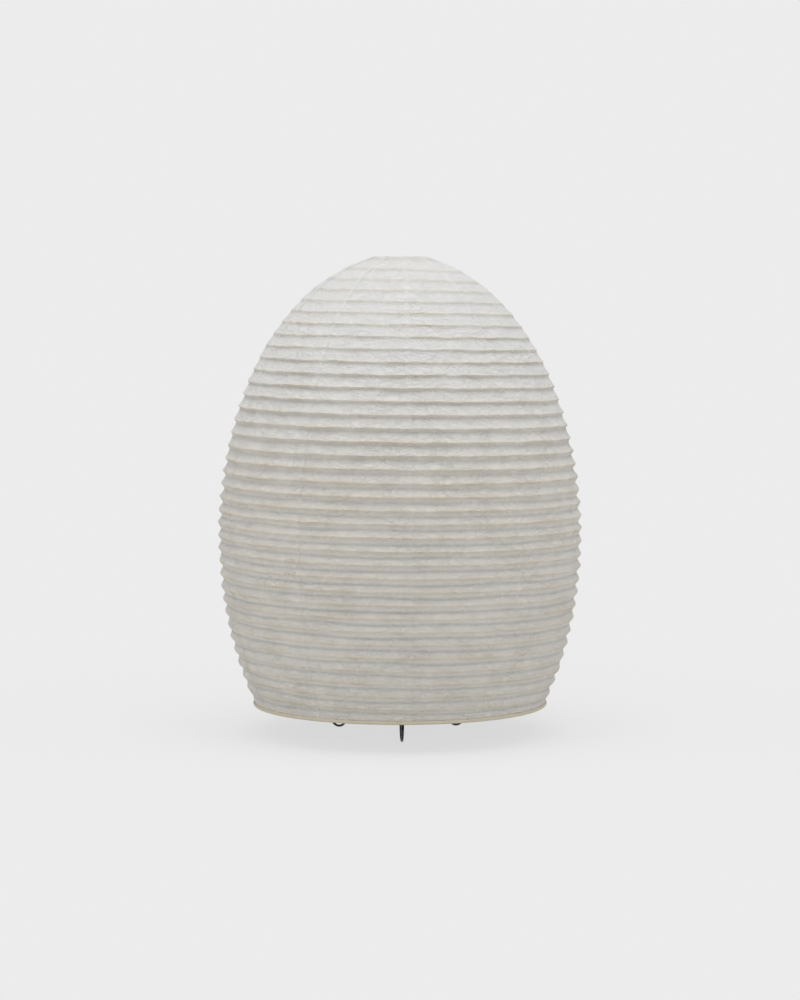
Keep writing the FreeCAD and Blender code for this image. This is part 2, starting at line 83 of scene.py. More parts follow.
hoop_low, hoop_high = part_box("top_hoop")
rim_low, rim_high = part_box("bottom_hoop")
HOOP_WIRE_RADIUS = (hoop_high[2] - hoop_low[2]) / 2
HOOP_HEIGHT = (hoop_low[2] + hoop_high[2]) / 2
HOOP_RADIUS = hoop_high[0] - HOOP_WIRE_RADIUS
RIM_HEIGHT = (rim_low[2] + rim_high[2]) / 2
RIM_RADIUS = rim_high[0] - HOOP_WIRE_RADIUS

# The paper keeps this gap to both hoops.
EDGE_GAP = 0.0003
PAPER_FOOT = rim_high[2] + EDGE_GAP

# The egg on which the crests lie, and the rib's helix, which starts at the back FIRST_TURN pitches
# below the hoop.
SHADE_RADIUS = 0.229
WIDEST_HEIGHT = 0.252
UPPER_EDGE_RADIUS = HOOP_RADIUS + HOOP_WIRE_RADIUS + EDGE_GAP
PITCH_TOP = 0.0128
PITCH_MAIN = 0.01615
EASING_TURNS = 13
FIRST_TURN = 0.5
RIB_TURNS = 35
PANELS = 10

# Depths of the valleys, and the thickness and lap of the paper.
DEPTH_TOP = 0.0008
DEPTH_MIDDLE = 0.0042
DEPTH_BOTTOM = 0.0030
PAPER = 0.00035
OVERLAP = 0.0062

# The rib keeps its place in the CAD model, behind that model's deeper pleats and thicker paper.
CAD_DEPTH_MIDDLE = 0.0050
CAD_PAPER = 0.0005
RIB_THICKNESS = 0.0013
RIB_CLEARANCE = 0.0003

# Steps of the rib's path to a turn, and the flat half of its sides as a share of its thickness. The
# split strip wavers in and out, by so many radians of its wave to the turn.
RIB_STEPS = 144
RIB_EASE = 0.34
SPLIT_WAVER = 0.00008
SPLIT_WAVES = 37.0

# Rows of faces down from a crest to its valley and out again to the next crest, columns of a gore
# and of the strip that laps over its neighbour, and the arc over the top hoop in rows and degrees.
ROWS_UNDER = 5
ROWS_OVER = 9
ROWS = ROWS_UNDER + ROWS_OVER
COLUMNS = 64
STRIP_COLUMNS = 3
HOOP_ROWS = 7
HOOP_MEET = 160
HOOP_LEAVE = 40

# Below TUCK_FROM a valley lies midway between its crests. Above TUCK_TO it lies close under the
# upper one, TUCK_SHARE of the way down.
TUCK_SHARE = 0.14
TUCK_FROM = 0.25
TUCK_TO = 0.43

# Near the top the paper is pulled nearly smooth, so that only thin tucks are left of the pleats.
SMOOTH_FROM = 0.33
SMOOTH_TO = 0.60
SMOOTH_SHARE = 0.20

# A pleat's flat cap over the rib, the slack of its flanks, and the shares by which its valley's place
# and depth wander. LEAST_FLANK keeps a flank that runs out to nothing from dividing by zero.
CREST_CAP = RIB_THICKNESS * 0.4
LEAST_FLANK = 1e-5
FLANK_SLACK = 1.05
HANGING_SLACK = 1.35
PLACE_WANDER = 0.22
DEPTH_WANDER = 0.16
TUCK_WANDER = 0.5
DEPTH_KINK = 0.6

# Unevenness of the paper: heights and depths in metres, a crease's width in values of its noise and
# its slant in turns to the pitch. The puckers keep to the rib within RIB_REACH of phase and to the
# seams within SEAM_REACH, with a share PUCKERS_AWAY of them anywhere. The paper can sink by
# SINK_AT_CREST over the rib, and by SINK_AWAY more for each unit of phase off it.
PUCKER_HEIGHT = 0.00045
TUCK_HEIGHT = 0.0005
SWELL_HEIGHT = 0.0004
CREASE_DEPTH = 0.0009
CREASE_WIDTH = 0.09
CREASE_SLANT = 0.004
RIB_REACH = 0.22
SEAM_REACH = 0.007
PUCKERS_AWAY = 0.35
SEAM_PUCKERS = 1.2
SINK_AT_CREST = 0.0003
SINK_AWAY = 0.006

# How far the hand-laid rib strays from its helix, how much more in the upper half, and the share of
# short kinks in it.
RIB_STRAY = 0.00022
MORE_STRAY = 0.00028
STRAY_KINK = 0.7

# Pitches within which the unevenness fades out at the paper's edges, and within which the paper
# settles from the top hoop onto the egg.
EDGE_FADE = 0.3
SETTLING = 0.5

# Lumps of the edge over the hoop. A lap rises off the sheet below between these shares of its width,
# to LAP_LIFT thicknesses of the paper.
EDGE_LUMP = 0.0002
LAP_RISE = (-0.2, 0.5)
LAP_LIFT = 1.1

# Noise patterns: cells round the shade, cells to the pitch, and the seed.
PUCKERS = (230, 2.6, 11)
TUCKS = (110, 2.1, 12)
SWELLS = (46, 1.3, 13)
SLANTS = (60, 1.1, 14)
CREASE_PATCHES = (22, 0.6, 15)
RIB_SWAY = (36, 1.0, 21)
RIB_KINKS = (84, 1.0, 22)
EDGE_LUMPS = (90, 1.0, 23)
PLACE_SWAY = (17, 1.0, 31)
DEPTH_SWAY = (26, 1.0, 32)
DEPTH_KINKS = (70, 1.0, 33)
TAPE_EDGE = (90, 1.0, 41)

# The tape at the rim: how high its flaps stand over the hoop's middle, how far the inner one leans
# out, the angles of its bend, and the tear of what stands over TAPE_TEAR_FROM, by noise at TAPE_FALL.
TAPE_STEPS = 720
TAPE_OUTSIDE = 0.0021
TAPE_INSIDE = 0.0020
TAPE_LEAN = 0.001
TAPE_BEND = np.radians(np.linspace(20, -180, 14))
TAPE_TEAR = 0.0002
TAPE_TEAR_FROM = 0.0015
TAPE_FALL = 3

# The ribbon on the hoops: wraps, steps to a wrap, sides of the wound wire, and rise at each lap.
TOP_WRAPS = 38
RIM_WRAPS = 150
WRAP_STEPS = 6
HOOP_SIDES = 14
RIBBON_RISE = 0.00022

# A leg's wire runs out straight, then coils round once in an upright eye that stands on the floor.
LEG_WIRE = 0.003
LEG_ROOT = 0.015
FOOT_CIRCLE = 0.0875
EYE_RADIUS = 0.011
EYE_ANGLE = 314
FRONT_EYE_LEAD = -0.0030
REAR_EYE_LEAD = 0.0047
RUN_STEPS = 12
EYE_STEPS = 96
WIRE_SIDES = 20
WIRE_TIP = 0.8

# Rolled threads, with the heights within which they rise from the sleeve's foot and its mouth.
THREAD_PITCH = 0.00363
THREAD_DEPTH = 0.0010
THREAD_FOOT = (0.001, 0.0035)
THREAD_MOUTH = (0.002, 0.0045)
SHEET_METAL = 0.0005
SLEEVE_STEPS = 96

# Edges that bend by more than this many degrees are shaded sharp.
SHARP_ANGLE = 60

# --------------------------------------------------------------------------------- shape functions


def smooth_step(value, low, high):
    """0 below low, 1 above high, and the cubic 3q^2 - 2q^3 between."""
    q = np.clip((value - low) / (high - low), 0.0, 1.0)
    return q * q * (3.0 - 2.0 * q)


def egg(height):
    """Radius and outward normal of the crest surface: two half ellipses that meet at the widest height."""
    rise = height - WIDEST_HEIGHT
    upper = (HOOP_HEIGHT - WIDEST_HEIGHT) / math.sqrt(1 - (UPPER_EDGE_RADIUS / SHADE_RADIUS) ** 2)
    lower = (WIDEST_HEIGHT - RIM_HEIGHT) / math.sqrt(1 - (RIM_RADIUS / SHADE_RADIUS) ** 2)
    half_height = np.where(rise > 0, upper, lower)
    radius = SHADE_RADIUS * np.sqrt(1 - (rise / half_height) ** 2)
    radial, upward = radius / SHADE_RADIUS ** 2, rise / half_height ** 2
    length = np.hypot(radial, upward)
    return radius, radial / length, upward / length


def height_at(fall):
    """Height after so many pitches below the top hoop; the pitch eases open over the first turns."""
    eased = np.minimum(fall, EASING_TURNS)
    opening = (PITCH_MAIN - PITCH_TOP) / EASING_TURNS
    return HOOP_HEIGHT - PITCH_TOP * eased - opening * eased ** 2 / 2 - PITCH_MAIN * (fall - eased)


EASED_HEIGHT = float(height_at(EASING_TURNS))
FOOT_FALL = EASING_TURNS + (EASED_HEIGHT - PAPER_FOOT) / PITCH_MAIN


def pleat_depth(height):
    """Depth of the valleys: a parabola through its values at the rim, halfway and at the top hoop."""
    share = (height - RIM_HEIGHT) / (HOOP_HEIGHT - RIM_HEIGHT)
    swell = 2 * DEPTH_MIDDLE - (DEPTH_BOTTOM + DEPTH_TOP) / 2
    return DEPTH_BOTTOM * (1 - share) ** 2 + DEPTH_TOP * share ** 2 + 2 * swell * share * (1 - share)


def ripple(turn, fall, pattern):
    """Smooth noise from -1 to 1 over the shade.

    A lattice of seeded values, so many cells round the shade and so many to each pitch, blended by
    cubic steps. It closes on itself after one turn.
    """
    cells, drops, seed = pattern
    across = np.mod(turn, 1.0) * cells
    down = (fall + 1.0) * drops
    lattice = np.random.default_rng(seed).uniform(-1, 1, (int((FOOT_FALL + 2) * drops) + 3, cells))
    column, row = np.floor(across).astype(int), np.floor(down).astype(int)
    q, w = across - column, down - row
    q, w = q * q * (3 - 2 * q), w * w * (3 - 2 * w)
    left, right = column % cells, (column + 1) % cells
    upper = lattice[row, left] * (1 - q) + lattice[row, right] * q
    lower = lattice[row + 1, left] * (1 - q) + lattice[row + 1, right] * q
    return upper * (1 - w) + lower * w


def on_shade(radius, height, turn):
    """Points of the shade from their radius, height and turn, as one array of x, y, z."""
    angle = math.pi / 2 + 2 * math.pi * turn
    return np.stack([radius * np.cos(angle), radius * np.sin(angle), height], axis=-1)


# ----------------------------------------------------------------------------------- mesh building


def build_mesh(name, points, quads, caps=(), layers=()):
    """One mesh object from points, quads, single faces with more corners, and named UV layers."""
    mesh = bpy.data.meshes.new(name)
    corners = np.concatenate([quads.ravel(), *[np.asarray(cap) for cap in caps]]).astype(np.int32)
    counts = np.concatenate([np.full(len(quads), 4), [len(cap) for cap in caps]]).astype(np.int32)
    starts = np.concatenate([[0], np.cumsum(counts)[:-1]]).astype(np.int32)
    mesh.vertices.add(len(points))
    mesh.vertices.foreach_set("co", points.astype(np.float32).ravel())
    mesh.loops.add(len(corners))
    mesh.loops.foreach_set("vertex_index", corners)
    mesh.polygons.add(len(counts))
    mesh.polygons.foreach_set("loop_start", starts)
    for label, uvs in layers:
        mesh.uv_layers.new(name=label)
        mesh.uv_layers[label].data.foreach_set("uv", uvs[corners].astype(np.float32).ravel())
    mesh.polygons.foreach_set("use_smooth", np.ones(len(counts), dtype=bool))
    mesh.update(calc_edges=True)
    mesh.validate()
    mesh.set_sharp_from_angle(angle=math.radians(SHARP_ANGLE))
    made = bpy.data.objects.new(name, mesh)
    bpy.context.scene.collection.objects.link(made)
    return made


def grid_quads(index):
    """Quads of a grid of point numbers; a face looks along its row step crossed with its column step."""
    return np.stack([index[:-1, :-1], index[1:, :-1], index[1:, 1:], index[:-1, 1:]], -1).reshape(-1, 4)


def walled_sheet(name, outer, inner, layers):
    """A closed thin wall between two grids of points: both faces and the four rims."""
    rows, columns = outer.shape[:2]
    front = np.arange(rows * columns).reshape(rows, columns)
    back = front + rows * columns
    rims = [
        np.stack([front[0], back[0]])[::-1],
        np.stack([front[-1], back[-1]]),
        np.stack([front[:, 0], back[:, 0]], 1)[:, ::-1],
        np.stack([front[:, -1], back[:, -1]], 1),
    ]
    quads = np.concatenate([grid_quads(front), grid_quads(back[:, ::-1]), *map(grid_quads, rims)])
    points = np.concatenate([outer.reshape(-1, 3), inner.reshape(-1, 3)])
    layers = [(label, np.concatenate([uvs.reshape(-1, 2)] * 2)) for label, uvs in layers]
    return build_mesh(name, points, quads, layers=layers)


def ring_tube(name, rings, closed_path=False):
    """A tube whose rings of points follow one another; its ends are capped, or joined in a loop."""
    count, sides = rings.shape[:2]
    index = np.arange(count * sides).reshape(count, sides)
    index = np.concatenate([index, index[:, :1]], 1)
    if closed_path:
        index, caps = np.concatenate([index, index[:1]], 0), []
    else:
        caps = [index[0, :-1], index[-1, :-1][::-1]]
    return build_mesh(name, rings.reshape(-1, 3), grid_quads(index), caps)


# ----------------------------------------------------------------------------------- paper and rib


def pleat_rows(turn):
    """Fall, phase, way down, valley place, span and number of the pleat, for every row at each turn.

    Rows run from one crest to the next, dense at crest and valley: phase 0 is a crest, 0.5 the valley
    and 1 the next crest, and the way down is the share of the drop between them. The first rows
    start at the top hoop and the last end at the rim.
    """
    step = np.arange(ROWS * (RIB_TURNS + 1) + 1)
    pleat = np.minimum(step // ROWS, RIB_TURNS)
    row = step - pleat * ROWS
    share = np.where(row <= ROWS_UNDER, row / ROWS_UNDER, (row - ROWS_UNDER) / ROWS_OVER)
    phase = 0.5 * (row > ROWS_UNDER) + 0.5 * (share - 0.5 * np.sin(2 * math.pi * share) / (2 * math.pi))
    pleat, phase = pleat[:, None] + 0 * turn, phase[:, None] + 0 * turn
    upper = np.where(pleat == 0, 0.0, FIRST_TURN + pleat - 1 + turn)
    lower = np.where(pleat == RIB_TURNS, FOOT_FALL, FIRST_TURN + pleat + turn)
    middle = height_at((upper + lower) / 2)
    place = 0.5 + (TUCK_SHARE - 0.5) * smooth_step(middle, TUCK_FROM, TUCK_TO)
    place = place * (1 + PLACE_WANDER * ripple(turn, upper, PLACE_SWAY))
    along = np.where(phase < 0.5, 2 * phase * place, place + (2 * phase - 1) * (1 - place))
    return upper + along * (lower - upper), phase, along, place, lower - upper, pleat


def fold_depth(phase, place, span, height, turn, pleat):
    """How far the paper lies inside the crest surface.

    It leaves the flat crest cap over the rib, then falls as 1 - (1 - q)^k, with q the way along the
    flank and k its slack: nearly straight under the crest, and hanging on the way out to the next
    crest. The depth wanders along each pleat, most near the top, where the tucks come and go.
    """
    flank = np.where(phase < 0.5, place, 1 - place) * (span * PITCH_MAIN)
    away = np.where(phase < 0.5, 2 * phase, 2 - 2 * phase) * flank
    q = np.clip((away - CREST_CAP) / np.maximum(flank - CREST_CAP, LEAST_FLANK), 0, 1)
    hanging = HANGING_SLACK * np.clip(1 - 2 * place, 0, 1)
    slack = np.where(phase < 0.5, FLANK_SLACK, FLANK_SLACK + hanging)
    smooth = smooth_step(height, SMOOTH_FROM, SMOOTH_TO)
    wander = ripple(turn, pleat + turn, DEPTH_SWAY) + DEPTH_KINK * ripple(turn, pleat + turn, DEPTH_KINKS)
    share = (1 - (1 - SMOOTH_SHARE) * smooth) * (1 + (DEPTH_WANDER + TUCK_WANDER * smooth) * wander)
    return pleat_depth(height) * np.minimum(1, span) * share * (1 - (1 - q) ** slack)


def creases(turn, fall, phase, radius, seam):
    """Handmade unevenness of the paper, outwards in metres.

    Fine puckers, most of them close to the rib and the seams, broader tucks and swells, and a few
    long creases where slanted noise passes through zero. All of it shrinks with the shade's radius,
    and close to a crest the rib behind it keeps the paper from sinking.
    """
    off_crest = np.minimum(phase, 1 - phase)
    near_rib = np.exp(-(off_crest / RIB_REACH) ** 2)
    near_seam = np.exp(-(seam / SEAM_REACH) ** 2)
    puckers = (ripple(turn, fall, PUCKERS) * (PUCKERS_AWAY + (1 - PUCKERS_AWAY) * near_rib)
               * (1 + SEAM_PUCKERS * near_seam))
    slant = ripple(turn + CREASE_SLANT * fall, fall, SLANTS)
    long_creases = np.exp(-(slant / CREASE_WIDTH) ** 2) * np.maximum(0, ripple(turn, fall, CREASE_PATCHES))
    uneven = (PUCKER_HEIGHT * puckers + TUCK_HEIGHT * ripple(turn, fall, TUCKS)
              + SWELL_HEIGHT * ripple(turn, fall, SWELLS) - CREASE_DEPTH * long_creases)
    return radius / SHADE_RADIUS * np.maximum(uneven, -SINK_AT_CREST - SINK_AWAY * off_crest)


def inside_edges(fall):
    """0 at the paper's upper and lower edge, 1 from a small part of a pitch inside them."""
    return smooth_step(fall, 0, EDGE_FADE) * smooth_step(FOOT_FALL - fall, 0, EDGE_FADE)


def crest_wave(turn, fall, height):
    """How far the hand-laid rib, and the crest with it, strays down from its even helix."""
    stray = RIB_STRAY + MORE_STRAY * smooth_step(height, TUCK_FROM, TUCK_TO)
    sway = ripple(turn, fall, RIB_SWAY) + STRAY_KINK * ripple(turn, fall, RIB_KINKS)
    return stray * inside_edges(fall) * sway


def paper_over_hoop():
    """Columns of radius, height and normal where the paper's upper edge laps over the top hoop.

    An arc about the hoop's wire, from inside the ring over its top to where the pleats begin.
    """
    angle = np.radians(np.linspace(HOOP_MEET, HOOP_LEAVE, HOOP_ROWS + 1))[:, None]
    reach = HOOP_WIRE_RADIUS + EDGE_GAP
    return (HOOP_RADIUS + reach * np.cos(angle), HOOP_HEIGHT + reach * np.sin(angle),
            np.cos(angle), np.sin(angle))


def panel_columns(number):
    """Turn of every column of a gore, row by row, and its lift off the sheet below.

    The gore's own columns are evenly spread over its share of a turn. The strip that laps over the
    next gore has the same width all the way down, so its share of a turn grows as the radius shrinks.
    """
    first = (number - 1) / PANELS
    share = np.arange(COLUMNS + 1) / COLUMNS
    turn = (first + share / PANELS)[None, :]
    radius, _, _ = egg(height_at(pleat_rows(turn[:, -1:])[0]))
    strip = np.arange(1, STRIP_COLUMNS + 1)[None, :] / STRIP_COLUMNS
    lap = turn[:, -1:] + strip * OVERLAP / (2 * math.pi * radius)
    turn = np.concatenate([np.repeat(turn, len(lap), 0), lap], 1)
    lift = np.concatenate([np.zeros((1, COLUMNS + 1)), smooth_step(strip, *LAP_RISE)], 1)
    return turn, PAPER * LAP_LIFT * lift + 0 * turn


def paper_panel(number):
    """One gore, a tenth of the shade, with the strip that laps over its neighbour glued on top.

    Each point is the egg's point at its row's height, moved along the egg's normal by the fold's depth
    and the paper's unevenness. The inner face is the same, one paper's thickness further in.
    """
    turn, lift = panel_columns(number)
    fall, phase, along, place, span, pleat = pleat_rows(turn)
    height = height_at(fall)
    radius, radial, upward = egg(height)
    seam = np.abs(np.mod(turn * PANELS + 0.5, 1) - 0.5) / PANELS * 2 * math.pi * radius
    inset = fold_depth(phase, place, span, height, turn, pleat)
    proud = creases(turn, fall, phase, radius, seam) * inside_edges(fall) + lift
    over_radius, over_height, over_radial, over_upward = paper_over_hoop()
    settled = 1 - smooth_step(fall, 0, SETTLING)
    inward = settled * (over_radius[-1] - UPPER_EDGE_RADIUS)
    raised = settled * (over_height[-1] - HOOP_HEIGHT) - crest_wave(turn, fall, height)
    lumps = EDGE_LUMP * (1 + ripple(turn[:1], 0 * turn[:1], EDGE_LUMPS))
    walls = []
    for sunk in (0.0, PAPER):
        deep = inset - proud + sunk
        over = lift[:1] + lumps * np.sin(np.linspace(math.pi, 0, HOOP_ROWS + 1))[:, None] - sunk
        walls.append(on_shade(
            np.concatenate([(over_radius + over * over_radial)[:-1], radius + inward - deep * radial]),
            np.concatenate([(over_height + over * over_upward)[:-1], height + raised - deep * upward]),
            np.concatenate([np.repeat(turn[:1], HOOP_ROWS, 0), turn])))
    layers = []
    for label, down in (("Pleats", pleat + phase), ("Spacing", pleat + along)):
        uvs = np.stack([turn * PANELS - (number - 1), down], -1)
        layers.append((label, np.concatenate([np.repeat(uvs[:1], HOOP_ROWS, 0) - [0, 0.5], uvs])))
    return walled_sheet(f"paper_gore_{number:02d}", *walls, layers)


def rib_strip():
    """The split bamboo strip: a square section with eased corners carried along the helix of the crests."""
    turn = np.arange(RIB_TURNS * RIB_STEPS + 1) / RIB_STEPS
    height = height_at(FIRST_TURN + turn)
    radius, radial, upward = egg(height)
    height = height - crest_wave(turn, FIRST_TURN + turn, height)
    fold = math.atan2(PITCH_MAIN / 2, CAD_DEPTH_MIDDLE)
    inset = CAD_PAPER + (RIB_THICKNESS / 2 + RIB_CLEARANCE) / math.sin(fold)
    side, ease = RIB_THICKNESS / 2, RIB_THICKNESS * RIB_EASE
    across = np.array([side, side, ease, -ease, -side, -side, -ease, ease])
    upright = np.array([-ease, ease, side, side, ease, -ease, -side, -side])
    out = across[None, :] - inset
    split = SPLIT_WAVER * np.sin(turn * SPLIT_WAVES)[:, None]
    rings = on_shade(radius[:, None] + (out + split) * radial[:, None] - upright * upward[:, None],
                     height[:, None] + (out + split) * upward[:, None] + upright * radial[:, None],
                     turn[:, None])
    return ring_tube("bamboo_rib_strip", rings)


def rim_tape():
    """The tan tape that binds the foot of the paper to the hoop: up the outside, round and up inside.

    The outline is two flaps joined by an arc about the hoop's wire, and the same again one paper's
    thickness further in. Both edges are torn: their height follows noise round the rim.
    """
    around = np.arange(TAPE_STEPS)[:, None] / TAPE_STEPS
    top = float(egg(RIM_HEIGHT + TAPE_OUTSIDE)[0])
    loops = []
    for skin in (2 * PAPER, PAPER):
        reach = HOOP_WIRE_RADIUS + EDGE_GAP / 2 + skin
        radii = [top + skin, *(RIM_RADIUS + reach * np.cos(TAPE_BEND)), RIM_RADIUS - reach + TAPE_LEAN]
        heights = [RIM_HEIGHT + TAPE_OUTSIDE, *(RIM_HEIGHT + reach * np.sin(TAPE_BEND)),
                   RIM_HEIGHT + TAPE_INSIDE]
        loops.append(np.array([radii, heights]))
    radii, heights = np.concatenate([loops[0], loops[1][:, ::-1]], 1)
    torn = heights > RIM_HEIGHT + TAPE_TEAR_FROM
    ragged = TAPE_TEAR * ripple(around, 0 * around + TAPE_FALL, TAPE_EDGE) * torn
    return ring_tube("rim_tape", on_shade(radii[None, :], heights[None, :] + ragged, around)[:, ::-1],
                     closed_path=True)


def leg_wire(name, azimuth, lead):
    """One leg: a round wire along a straight run and most of a circle, the eye.

    The wire coils sideways by its lead in the eye, so that its end passes beside the run.
    """
    angle = np.radians(np.linspace(0, EYE_ANGLE, EYE_STEPS + 1))
    run = np.linspace(LEG_ROOT, FOOT_CIRCLE, RUN_STEPS + 1)[:-1]
    aside = np.concatenate([0 * run, lead * angle / (2 * math.pi)])
    reach = np.concatenate([run, FOOT_CIRCLE + EYE_RADIUS * np.sin(angle)])
    height = LEG_WIRE / 2 + EYE_RADIUS + EYE_RADIUS * np.concatenate([1 + 0 * run, np.cos(angle)])
    path = np.stack([aside, -reach, height], -1)
    heading = np.gradient(path, axis=0)
    heading /= np.linalg.norm(heading, axis=1, keepdims=True)
    side = np.array([1.0, 0, 0]) - heading[:, :1] * heading
    side /= np.linalg.norm(side, axis=1, keepdims=True)
    about = 2 * math.pi * np.arange(WIRE_SIDES)[None, :, None] / WIRE_SIDES
    section = np.cos(about) * side[:, None] + np.sin(about) * np.cross(side, heading)[:, None]
    thick = np.full((len(path), 1, 1), LEG_WIRE / 2)
    thick[[0, -1]] *= WIRE_TIP
    points = path[:, None] + thick * section
    turned = math.radians(azimuth)
    around = np.array([[math.cos(turned), math.sin(turned), 0], [-math.sin(turned), math.cos(turned), 0],
                       [0, 0, 1]])
    return ring_tube(name, points @ around)


def threaded_sleeve(name, node, outer):
    """A rolled sheet-metal sleeve with a round thread: radius minus depth times (1 - cos) / 2.

    The thread rises one pitch to the turn, right-handed, and fades out at both ends.
    """
    low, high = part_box(node)
    height = low[2] + (high[2] - low[2]) * np.arange(SLEEVE_STEPS + 1) / SLEEVE_STEPS
    around = np.arange(SLEEVE_STEPS)[:, None] / SLEEVE_STEPS
    fade = (smooth_step(height, low[2] + THREAD_FOOT[0], low[2] + THREAD_FOOT[1])
            * smooth_step(high[2] - height, *THREAD_MOUTH))
    groove = THREAD_DEPTH * fade * (0.5 - 0.5 * np.cos(2 * math.pi * (height / THREAD_PITCH - around)))
    outside = outer - groove
    radius = np.concatenate([outside, outside[:, ::-1] - SHEET_METAL], 1)
    height = np.concatenate([height, height[::-1]])[None, :] + 0 * radius
    return ring_tube(name, on_shade(radius, height, around), closed_path=True)


def wrapped_ring(name, radius, height, wraps):
    """A hoop wound with a paper ribbon: its wire thickens at the lap of every turn of the ribbon."""
    around = np.arange(wraps * WRAP_STEPS)[:, None] / (wraps * WRAP_STEPS)
    about = np.arange(HOOP_SIDES)[None, :] / HOOP_SIDES
    lap = np.mod(around * wraps - about, 1)
    wire = HOOP_WIRE_RADIUS - RIBBON_RISE + RIBBON_RISE * lap
    out = radius + wire * np.cos(2 * math.pi * about)
    return ring_tube(name, on_shade(out, height + wire * np.sin(2 * math.pi * about), around),
                     closed_path=True)


for number in range(1, PANELS + 1):
    gore = paper_panel(number)
    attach(gore, "shade")
    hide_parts(f"paper_panel_{number:02d}")
    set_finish(gore, "washi_paper")

rib = rib_strip()
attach(rib, "shade")
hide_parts("bamboo_rib")
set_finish(rib, "bamboo")

for side, azimuth, lead in (("front", 0, FRONT_EYE_LEAD), ("rear_right", 120, REAR_EYE_LEAD),
                            ("rear_left", -120, REAR_EYE_LEAD)):
    leg = leg_wire(f"leg_{side}_coiled", azimuth, lead)
    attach(leg, "frame")
    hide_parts(f"leg_{side}")
    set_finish(leg, "black_wire")

for node, body, slot in (("bulb_cap", "bulb", "cap_metal"), ("screw_shell", "frame", "brass")):
    sleeve = threaded_sleeve(f"{node}_threaded", node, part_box(node)[1][0])
    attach(sleeve, body)
    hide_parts(node)
    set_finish(sleeve, slot)

top_ring = wrapped_ring("top_hoop_wrapped", HOOP_RADIUS, HOOP_HEIGHT, TOP_WRAPS)
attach(top_ring, "shade")
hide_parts("top_hoop")
rim_ring = wrapped_ring("bottom_hoop_wrapped", RIM_RADIUS, RIM_HEIGHT, RIM_WRAPS)
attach(rim_ring, "lower_hoop")
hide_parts("bottom_hoop")
tape = rim_tape()
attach(tape, "lower_hoop")
for wrapped in (top_ring, rim_ring, tape):
    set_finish(wrapped, "wrapped_hoop")

# --------------------------------------------------------------------------------------- materials

# Colours of the paper (where there are two, those of the shade's lower and upper part: the lower
# painted darker and warmer as in shade, the upper painted lighter as lit), of the split bamboo and
# of the ribbon.
PAPER_BODY_SHADED_AND_LIT = ((0.792, 0.766, 0.718, 1), (0.815, 0.810, 0.800, 1))
# Under each crest: the rib's ochre tint showing through, darkened as painted shade under the crest.
PAPER_RIB_TINT_AND_SHADE = ((0.712, 0.650, 0.540, 1), (0.690, 0.648, 0.568, 1))
# Above each crest: a painted cream highlight over the rib's warm tint.
PAPER_RIB_TINT_AND_HIGHLIGHT = ((0.768, 0.702, 0.594, 1), (0.860, 0.826, 0.745, 1))
# Painted shade in the valleys of the folds.
PAPER_VALLEY_SHADE = (0.59, 0.575, 0.545, 1)
PAPER_LAP = (0.85, 0.84, 0.815, 1)
PAPER_FIBRE = (0.90, 0.89, 0.86, 1)
# Painted shade along the crumple's creases.
PAPER_CREASE_SHADE = (0.60, 0.60, 0.59, 1)
STRAW, BAMBOO_SKIN = (0.58, 0.43, 0.23, 1), (0.33, 0.22, 0.10, 1)
RIBBON, RIBBON_SCUFF, RIBBON_FIBRE = (0.72, 0.66, 0.53, 1), (0.62, 0.55, 0.42, 1), (0.80, 0.74, 0.60, 1)

# Heights between which the paper changes on the way up the shade. Over the first pair its colours go
# from the painted shade of the lower part to the painted light of the upper part.
UPPER_PART = (0.30, 0.52)
RIB_TINT_AND_SHADE_FADES = (0.50, 0.57)
VALLEY_SHADE_FADES = (0.12, 0.34)
LAPS_SHOW = (0.40, 0.56)
CRUSH_FADES = (0.44, 0.54)

# The rib's tint with painted shade under the crest fades, and the painted cream highlight grows,
# between these shares of the way down from a crest to the next. Painted shade in the valley grows
# between these phases off the crest, and a lap between these shares of the gore.
RIB_TINT_AND_SHADE_BAND = (0.08, 0.36)
RIB_TINT_AND_HIGHLIGHT_BAND = (0.74, 0.97)
VALLEY_SHADE_BAND = (0.30, 0.49)
LAP_EDGE = (0.995, 1.003)

# Stretches of the paper's patterns along x, y and z, the bending of its facets by noise, the widths
# of threads and creases in values of their noise, and the height of a crease against the facets.
UPRIGHT_THREADS = (1.0, 1.0, 0.22)
LEVEL_THREADS = (0.3, 0.3, 1.3)
FLAT_FACETS = (1.0, 1.0, 1.9)
FACET_BEND = (1.6, 1.6, 1.6)
THREAD_WIDTH = 0.035
RIDGE_WIDTH = 0.10
RIDGE_HEIGHT = -0.35


def new_material(name, **sockets):
    """A material whose shader sockets are set by name, with the shader and its tree."""
    material = bpy.data.materials.new(name)
    material.use_nodes = True
    shader = material.node_tree.nodes["Principled BSDF"]
    for label, value in sockets.items():
        shader.inputs[label.replace("_", " ")].default_value = value
    return material, material.node_tree, shader


def feed(tree, source, target):
    """A socket takes a link from another socket, or a plain value."""
    if isinstance(source, bpy.types.NodeSocket):
        tree.links.new(source, target)
    else:
        target.default_value = source


def calculate(tree, operation, *values):
    """The result of a Math node on sockets or plain values."""
    made = tree.nodes.new("ShaderNodeMath")
    made.operation = operation
    for value, target in zip(values, made.inputs):
        feed(tree, value, target)
    return made.outputs[0]


def mix_colours(tree, share, first, second):
    """A colour between two others, by a share."""
    made = tree.nodes.new("ShaderNodeMix")
    made.data_type = "RGBA"
    for value, target in zip((share, first, second), (made.inputs[0], made.inputs[6], made.inputs[7])):
        feed(tree, value, target)
    return made.outputs[2]


def remap(tree, value, low, high, to_low=0.0, to_high=1.0):
    """A smooth ramp from low to high."""
    made = tree.nodes.new("ShaderNodeMapRange")
    made.interpolation_type = "SMOOTHSTEP"
    for given, target in zip((value, low, high, to_low, to_high), made.inputs):
        feed(tree, given, target)
    return made.outputs[0]


